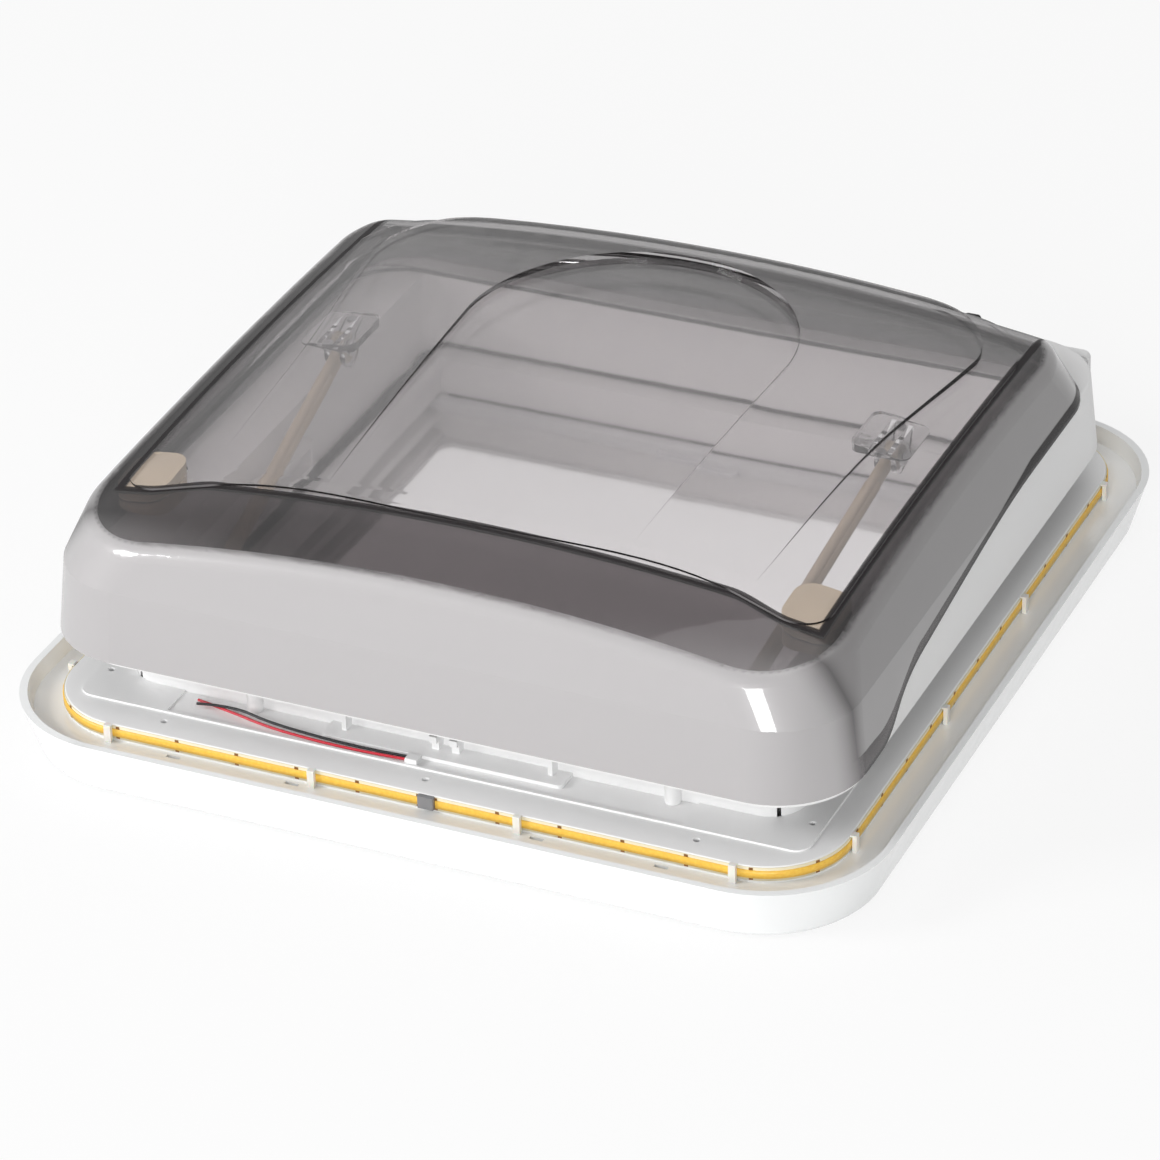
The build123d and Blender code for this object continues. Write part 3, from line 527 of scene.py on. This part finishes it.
def weave(tree, u, v, pitch):
    """Heights of a plain weave with threads pitch apart."""
    turns = 2 * math.pi / pitch
    return (u * turns).sine() * (v * turns).sine()


def blackout_cloth(settings):
    """Coated cloth: dark, matte, with a fine weave."""
    material, tree = new_finish("blackout cloth")
    place, (x, y, _) = tree.axes("UV")
    cross = weave(tree, x, y, 0.0006)
    cloud = tree.noise(place, 30.0, 3.0)
    tint = tree.mix(cloud, [c * 0.9 for c in settings.cloth], settings.cloth)
    shade = {"Base Color": tint, "Roughness": 0.8 + cross * 0.05, "Sheen Weight": 0.15}
    tree.surface(tree.plastic(shade, {"Normal": tree.bump(cross, 0.25, 0.0002)}))
    return material


def flyscreen_cloth(settings):
    """Open mesh: thin dark threads with air between them."""
    material, tree = new_finish("flyscreen mesh")
    _, (x, y, _) = tree.axes("UV")
    turns = math.pi / 0.0014
    across = (x * turns).sine().size()
    along = (y * turns).sine().size()
    thread = 1 - across.least(along).above(0.45, 0.25)
    tint = tree.mix(thread, [c * 0.6 for c in settings.mesh], settings.mesh)
    tree.surface(tree.plastic({"Base Color": tint, "Roughness": 0.7 - thread * 0.1, "Alpha": thread}))
    return material


def rubber(name, base, rough, scale, depth):
    """Black rubber or foam, pitted at the given scale."""
    material, tree = new_finish(name)
    place, _ = tree.axes()
    pits = tree.node("ShaderNodeTexVoronoi", {}, {"Vector": place, "Scale": scale}, "Distance")
    dust = tree.noise(place, 60.0, 4.0)
    tint = tree.mix(dust, base, [c * 1.8 for c in base])
    shade = {"Base Color": tint, "Roughness": rough + dust * 0.12, "Normal": tree.bump(pits, 0.3, depth)}
    tree.surface(tree.plastic(shade))
    return material


def zinc_steel():
    """Zinc-plated steel with fine turning marks."""
    material, tree = new_finish("plated steel")
    place, _ = tree.axes()
    marks = tree.noise(place, 1500.0, 2.0)
    bloom = tree.noise(place, 120.0, 3.0)
    tint = tree.mix(bloom, (0.58, 0.58, 0.60), (0.72, 0.72, 0.73))
    shade = {"Base Color": tint, "Metallic": 1.0, "Roughness": 0.24 + marks * 0.16}
    tree.surface(tree.plastic(shade, {"Normal": tree.bump(marks, 0.12, 0.0002)}))
    return material


def floor_finish(settings):
    """Pale floor that looks white to the eye and in the glass and keeps its shadow."""
    material, tree = new_finish("studio floor")
    matte = tree.node("ShaderNodeBsdfDiffuse", {}, {"Color": settings.floor_colour})
    lit = tree.node("ShaderNodeEmission", {}, {"Color": (1, 1, 1), "Strength": 1.0})
    seen = seen_rays(tree) * 0.84
    tree.surface(tree.node("ShaderNodeMixShader", {}, {0: seen, 1: matte, 2: lit}))
    return material


def seen_rays(tree):
    """1 for the rays that show the background: direct, mirrored or through glass."""
    direct, mirrored, through = [
        tree.node("ShaderNodeLightPath", output=name)
        for name in ("Is Camera Ray", "Is Glossy Ray", "Is Transmission Ray")]
    return direct.most(mirrored).most(through)


def new_mesh(name, points, faces, smooth=False):
    """Mesh object at the origin from points and faces."""
    mesh = bpy.data.meshes.new(name)
    mesh.from_pydata([tuple(p) for p in points], [], faces)
    mesh.polygons.foreach_set("use_smooth", [smooth] * len(mesh.polygons))
    mesh.update()
    made = bpy.data.objects.new(name, mesh)
    bpy.context.scene.collection.objects.link(made)
    return made


def area_lamp(name, place, aim, size, power):
    """Soft square lamp that faces a point."""
    lamp = bpy.data.lights.new(name, "AREA")
    lamp.size = size
    lamp.energy = power
    made = bpy.data.objects.new(name, lamp)
    bpy.context.scene.collection.objects.link(made)
    made.location = place
    made.rotation_euler = (Vector(aim) - Vector(place)).to_track_quat("-Z", "Y").to_euler()


def finish_nodes(finishes):
    """Gives every CAD node its finish from {finish: node names}."""
    for material, names in finishes.items():
        for name in names.split():
            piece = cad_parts[name]
            piece.data.materials.clear()
            piece.data.materials.append(material)


class HATCH_OT_stage(bpy.types.Operator):
    """Place the camera, the floor, the sky and the lamps"""
    bl_idname = "hatch.stage"
    bl_label = "Stage"

    def execute(self, context):
        settings = context.scene.hatch_stage
        self.camera(context, settings)
        self.floor(settings)
        self.sky(context, settings)
        area_lamp("key lamp", (-2.7, -2.2, 1.9), (0, 0, 0.08), 1.3, settings.key_power)
        area_lamp("front lamp", (1.0, -3.2, 1.2), (0, 0, 0.08), 1.0, settings.front_power)
        area_lamp("top lamp", (0.2, 0.6, 2.6), (0, 0, 0.1), 1.6, settings.top_power)
        context.scene.view_settings.view_transform = "Standard"
        return {"FINISHED"}

    def camera(self, context, settings):
        data = bpy.data.cameras.new("camera")
        data.lens = settings.lens
        data.sensor_width = 36.0
        data.clip_end = 100.0
        made = bpy.data.objects.new("camera", data)
        context.scene.collection.objects.link(made)
        right = Vector(CAMERA_RIGHT).normalized()
        back = Vector(CAMERA_BACK).normalized()
        up = back.cross(right).normalized()
        turn = Matrix((right, up, back)).transposed().to_4x4()
        made.matrix_world = Matrix.Translation(CAMERA_PLACE) @ turn
        context.scene.camera = made

    def floor(self, settings):
        corners = [
            (sx * FLOOR_HALF, sy * FLOOR_HALF, FLOOR_Z)
            for sx, sy in ((-1, -1), (1, -1), (1, 1), (-1, 1))]
        floor = new_mesh("floor", corners, [(0, 1, 2, 3)])
        floor.data.materials.append(floor_finish(settings))

    def sky(self, context, settings):
        world = bpy.data.worlds.new("soft sky")
        world.use_nodes = True
        world.node_tree.nodes.clear()
        tree = Nodes(world.node_tree)
        level = settings.sky + seen_rays(tree) * (1.0 - settings.sky)
        sky = tree.node("ShaderNodeBackground", {}, {"Color": (1, 1, 1), "Strength": level})
        tree.node("ShaderNodeOutputWorld", {}, {"Surface": sky})
        context.scene.world = world


class HATCH_OT_wires(bpy.types.Operator):
    """Lay the two supply wires on the front of the mounting plate"""
    bl_idname = "hatch.wires"
    bl_label = "Supply wires"

    def execute(self, context):
        settings = context.scene.hatch_wires
        red = wire_jacket("red insulation", settings.red)
        black = wire_jacket("black insulation", settings.black)
        self.lay("red_wire", RED_ROUTE, settings, red, "supply_wire_red", "wire_red", 0.1329)
        self.lay("black_wire", BLACK_ROUTE, settings, black, "supply_wire_black", "wire_black", 0.1297)
        return {"FINISHED"}

    def lay(self, name, route, settings, finish, node, slot, run):
        curve = bpy.data.curves.new(name, "CURVE")
        curve.dimensions = "3D"
        spline = curve.splines.new("NURBS")
        spline.points.add(len(route) - 1)
        for point, place in zip(spline.points, route):
            point.co = (*place, 1)
        spline.order_u = 3
        spline.use_endpoint_u = True
        spline.resolution_u = 10
        curve.bevel_depth = settings.diameter / 2
        curve.bevel_resolution = 3
        curve.use_fill_caps = True
        made = bpy.data.objects.new(name, curve)
        bpy.context.scene.collection.objects.link(made)
        curve.materials.append(finish)
        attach(made, "frame")
        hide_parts(node)


class HATCH_OT_light_strip(bpy.types.Operator):
    """Wrap the light strip round the land of the inner frame"""
    bl_idname = "hatch.light_strip"
    bl_label = "Light strip"

    def execute(self, context):
        settings = context.scene.hatch_strip
        path = self.path(settings)
        tree = self.tree(settings)
        modifier = path.modifiers.new("strip", "NODES")
        modifier.node_group = tree
        names = {
            "Height": settings.height, "Carrier": settings.carrier, "Glow": settings.glow,
            "Bead": settings.bead, "Pitch": settings.pitch, "Pad": settings.pad}
        for item in tree.interface.items_tree:
            if item.in_out == "INPUT" and item.name in names:
                modifier[item.identifier] = names[item.name]
        context.view_layer.update()
        solid = path.evaluated_get(context.evaluated_depsgraph_get())
        mesh = bpy.data.meshes.new_from_object(solid)
        mesh.name = "light_strip"
        if len(mesh.polygons) < 100:
            raise RuntimeError("the light strip came out empty")
        bpy.data.objects.remove(path)
        made = bpy.data.objects.new("light_strip", mesh)
        context.scene.collection.objects.link(made)
        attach(made, "frame")
        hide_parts("led_strip")
        return {"FINISHED"}

    def path(self, settings):
        """Line of the strip's back face, from one side of the gap round to the other."""
        half_w = LAND_W / 2 + STRIP_CLEARANCE
        half_d = LAND_D / 2 + STRIP_CLEARANCE
        radius = LAND_R + STRIP_CLEARANCE
        points = [(STRIP_GAP_X + settings.gap / 2, -half_d)]
        centres = [(1, -1, -90), (1, 1, 0), (-1, 1, 90), (-1, -1, 180)]
        for sx, sy, start in centres:
            cx = sx * (half_w - radius)
            cy = sy * (half_d - radius)
            for step in range(CORNER_STEPS + 1):
                turn = math.radians(start + step * 90 / CORNER_STEPS)
                points.append((cx + radius * math.cos(turn), cy + radius * math.sin(turn)))
        points.append((STRIP_GAP_X - settings.gap / 2, -half_d))
        curve = bpy.data.curves.new("strip path", "CURVE")
        curve.dimensions = "3D"
        spline = curve.splines.new("POLY")
        spline.points.add(len(points) - 1)
        for point, (x, y) in zip(spline.points, points):
            point.co = (x, y, STRIP_TOP - settings.height / 2, 1)
        made = bpy.data.objects.new("strip path", curve)
        bpy.context.scene.collection.objects.link(made)
        return made

    def tree(self, settings):
        """Board, bead and pads that follow a curve."""
        group = bpy.data.node_groups.new("light strip", "GeometryNodeTree")
        group.interface.new_socket("Path", in_out="INPUT", socket_type="NodeSocketGeometry")
        for name in ("Height", "Carrier", "Glow", "Bead", "Pitch", "Pad"):
            group.interface.new_socket(name, in_out="INPUT", socket_type="NodeSocketFloat")
        group.interface.new_socket("Strip", in_out="OUTPUT", socket_type="NodeSocketGeometry")
        nodes = Nodes(group)
        asked = group.nodes.new("NodeGroupInput")
        path, height, carrier, glow, bead, pitch, pad = [
            Value(nodes, asked.outputs[i]) for i in range(7)]
        level = nodes.node("GeometryNodeSetCurveNormal", {"mode": "Z_UP"}, {"Curve": path})
        board = self.band(nodes, level, carrier, height, carrier / 2)
        light = self.band(nodes, level, glow, bead, carrier + glow / 2)
        pads = self.pads(nodes, level, height, bead, carrier, pitch, pad)
        finishes = [
            moulded("flexible board", settings.board, 0.4, 0.05, 500.0),
            strip_phosphor(settings), solder(settings)]
        parts = [
            nodes.node("GeometryNodeSetMaterial", {}, {"Geometry": part, "Material": finish})
            for part, finish in zip((board, light, pads), finishes)]
        joined = nodes.tree.nodes.new("GeometryNodeJoinGeometry")
        for part in parts:
            group.links.new(part.socket, joined.inputs[0])
        real = nodes.node("GeometryNodeRealizeInstances", {}, {0: Value(nodes, joined.outputs[0])})
        last = group.nodes.new("NodeGroupOutput")
        group.links.new(real.socket, last.inputs[0])
        return group

    def band(self, nodes, path, thick, high, out):
        """Band swept along the path, its middle out metres from the line."""
        sizes = {"Width": thick, "Height": high}
        outline = nodes.node("GeometryNodeCurvePrimitiveQuadrilateral", {}, sizes)
        shift = nodes.node("ShaderNodeCombineXYZ", {}, {"X": out})
        moved = nodes.node("GeometryNodeTransform", {}, {"Geometry": outline, "Translation": shift})
        values = {"Curve": path, "Profile Curve": moved, "Fill Caps": True}
        return nodes.node("GeometryNodeCurveToMesh", {}, values)

    def pads(self, nodes, path, height, bead, carrier, pitch, pad):
        """Pairs of solder pads above and below the bead at every cutting place."""
        places = {"Curve": path, "Length": pitch}
        spots = nodes.node("GeometryNodeResampleCurve", {"mode": "LENGTH"}, places)
        along = nodes.node("GeometryNodeInputTangent")
        turn = nodes.node("FunctionNodeAlignRotationToVector", {"axis": "X"}, {"Vector": along})
        size = nodes.node("ShaderNodeCombineXYZ", {}, {"X": pad, "Y": 0.0004, "Z": height - 0.0004})
        plate = nodes.node("GeometryNodeMeshCube", {}, {"Size": size})
        shift = nodes.node("ShaderNodeCombineXYZ", {}, {"Y": 0 - carrier})
        moved = nodes.node("GeometryNodeTransform", {}, {"Geometry": plate, "Translation": shift})
        values = {"Points": spots, "Instance": moved, "Rotation": turn}
        placed = nodes.node("GeometryNodeInstanceOnPoints", {}, values)
        return nodes.node("GeometryNodeRealizeInstances", {}, {0: placed})


class HATCH_OT_blinds(bpy.types.Operator):
    """Fold the blackout cloth and the flyscreen into their cassettes"""
    bl_idname = "hatch.blinds"
    bl_label = "Blinds"

    def execute(self, context):
        settings = context.scene.hatch_blinds
        self.fold("blackout_folds", 1, settings, blackout_cloth(settings),
                  "blackout_pleats", "blackout_cloth", "blackout_blind")
        self.fold("flyscreen_folds", -1, settings, flyscreen_cloth(settings),
                  "flyscreen_pleats", "flyscreen_mesh", "flyscreen")
        return {"FINISHED"}

    def fold(self, name, sign, settings, finish, node, slot, body):
        """Zigzag cloth folded in the place of the pleats part."""
        low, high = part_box(node)
        count = settings.panels
        start = low[1] if sign < 0 else high[1]
        near = high[1] if sign < 0 else low[1]
        middle = (low[2] + high[2]) / 2
        rise = (settings.panel ** 2 - (settings.stack / count) ** 2) ** 0.5
        points, uvs, faces = [], [], []
        for i in range(2 * count + 1):
            share = i / (2 * count)
            swing = abs((i % 4) - 2) - 1
            y = near + (start - near) * (1 - share)
            for j in range(CLOTH_STEPS + 1):
                x = -settings.width / 2 + settings.width * j / CLOTH_STEPS
                points.append((x, y, middle + swing * rise / 2))
                uvs.append((x, share * settings.panel * count))
        for i in range(2 * count):
            for j in range(CLOTH_STEPS):
                a = i * (CLOTH_STEPS + 1) + j
                faces.append((a, a + 1, a + CLOTH_STEPS + 2, a + CLOTH_STEPS + 1))
        made = new_mesh(name, points, faces)
        layer = made.data.uv_layers.new(name="cloth")
        for loop in made.data.loops:
            layer.data[loop.index].uv = uvs[loop.vertex_index]
        made.data.materials.append(finish)
        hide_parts(node)
        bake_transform(made)


class HATCH_OT_spring(bpy.types.Operator):
    """Replace the button's spring with a welded copy that moves with the bail"""
    bl_idname = "hatch.spring"
    bl_label = "Button spring"

    def execute(self, context):
        mesh = bpy.data.meshes.new("button_spring")
        coil = bmesh.new()
        coil.from_mesh(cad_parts["lock_spring"].data)
        bmesh.ops.remove_doubles(coil, verts=coil.verts, dist=0.00001)
        coil.to_mesh(mesh)
        coil.free()
        mesh.materials.clear()
        mesh.materials.append(zinc_steel())
        made = bpy.data.objects.new("button_spring", mesh)
        context.scene.collection.objects.link(made)
        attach(made, "bail")
        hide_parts("lock_spring")
        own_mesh(made)
        return {"FINISHED"}


class HATCH_OT_finishes(bpy.types.Operator):
    """Give every moulding, fitting and pane its finish"""
    bl_idname = "hatch.finishes"
    bl_label = "Finishes"

    def execute(self, context):
        shell = context.scene.hatch_shell
        gloss = moulded("glossy white", shell.gloss_white, 0.22, 0.02, 600.0, 0.015,
                        {"Coat Weight": 0.3})
        satin = moulded("satin white", shell.satin_white, 0.42, 0.05, 1100.0)
        bars = moulded("white bar", (0.80, 0.81, 0.82), 0.3, 0.03)
        beige = moulded("beige nylon", shell.beige, 0.38, 0.08, 1300.0, 0.06)
        grey = moulded("button grey", (0.42, 0.42, 0.43), 0.4, 0.06)
        joint = moulded("joint grey", (0.25, 0.25, 0.26), 0.45, 0.06)
        pale = moulded("translucent clip", (0.88, 0.87, 0.82), 0.3, 0.03, 900.0, 0.03,
                       {"Subsurface Weight": 0.2, "Subsurface Scale": 0.002})
        foam = rubber("black foam", (0.012, 0.012, 0.013), 0.8, 900.0, 0.0005)
        seal = rubber("black rubber", (0.010, 0.010, 0.011), 0.5, 2500.0, 0.0001)
        finish_nodes({
            gloss: "inner_frame",
            well_wall(shell): "outer_frame",
            satin: "mounting_plate front_cassette rear_cassette side_rail_left "
                   "side_rail_right hinge_cover bail_guide_left bail_guide_right screw_caps "
                   "crossbar wire_outlet",
            bars: "blackout_pull_bar flyscreen_pull_bar",
            pale: "led_clips",
            joint: "led_joint",
            foam: "roof_gasket collar_seal",
            seal: "dome_seal",
            smoked_acrylic(shell): "dome_outer",
            inner_acrylic(shell): "dome_inner",
            clear_plastic(): "pivot_bracket_left pivot_bracket_right",
            beige: "corner_block_left corner_block_right bail_arm_left bail_arm_right",
            grey: "lock_button",
            zinc_steel(): "bracket_screws pivot_pin_left pivot_pin_right bail_pin_left "
                          "bail_pin_right clamp_screws hinge_pin_left hinge_pin_right",
        })
        for name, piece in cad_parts.items():
            if not piece.data.materials or piece.data.materials[0].name.startswith("Material"):
                raise RuntimeError(f"{name} has no finish")
        return {"FINISHED"}


class HATCH_PT_panel(bpy.types.Panel):
    """Lists the hatch's pieces and their settings"""
    bl_idname = "HATCH_PT_panel"
    bl_label = "Roof hatch"
    bl_space_type = "VIEW_3D"
    bl_region_type = "UI"
    bl_category = "Hatch"

    def draw(self, context):
        for name, operators in GROUPS.items():
            box = self.layout.box()
            settings = getattr(context.scene, name)
            for key in settings.__annotations__:
                box.prop(settings, key)
            for operator in operators:
                box.operator(operator)


GROUPS = {
    "hatch_stage": ["hatch.stage"],
    "hatch_wires": ["hatch.wires"],
    "hatch_strip": ["hatch.light_strip"],
    "hatch_blinds": ["hatch.blinds"],
    "hatch_spring": ["hatch.spring"],
    "hatch_shell": ["hatch.finishes"],
}
SETTINGS = {
    "hatch_stage": StageSettings,
    "hatch_wires": WireSettings,
    "hatch_strip": StripSettings,
    "hatch_blinds": BlindSettings,
    "hatch_spring": SpringSettings,
    "hatch_shell": ShellSettings,
}
CLASSES = (
    StageSettings, WireSettings, StripSettings, BlindSettings, SpringSettings, ShellSettings,
    HATCH_OT_stage, HATCH_OT_wires, HATCH_OT_light_strip, HATCH_OT_blinds, HATCH_OT_spring,
    HATCH_OT_finishes, HATCH_PT_panel,
)


def register():
    for cls in CLASSES:
        bpy.utils.register_class(cls)
    for name, group in SETTINGS.items():
        setattr(bpy.types.Scene, name, PointerProperty(type=group))


def unregister():
    for name in SETTINGS:
        delattr(bpy.types.Scene, name)
    for cls in reversed(CLASSES):
        bpy.utils.unregister_class(cls)


def main():
    register()
    bpy.ops.hatch.stage()
    bpy.ops.hatch.wires()
    bpy.ops.hatch.light_strip()
    bpy.ops.hatch.blinds()
    bpy.ops.hatch.spring()
    bpy.ops.hatch.finishes()


if __name__ == "__main__":
    main()
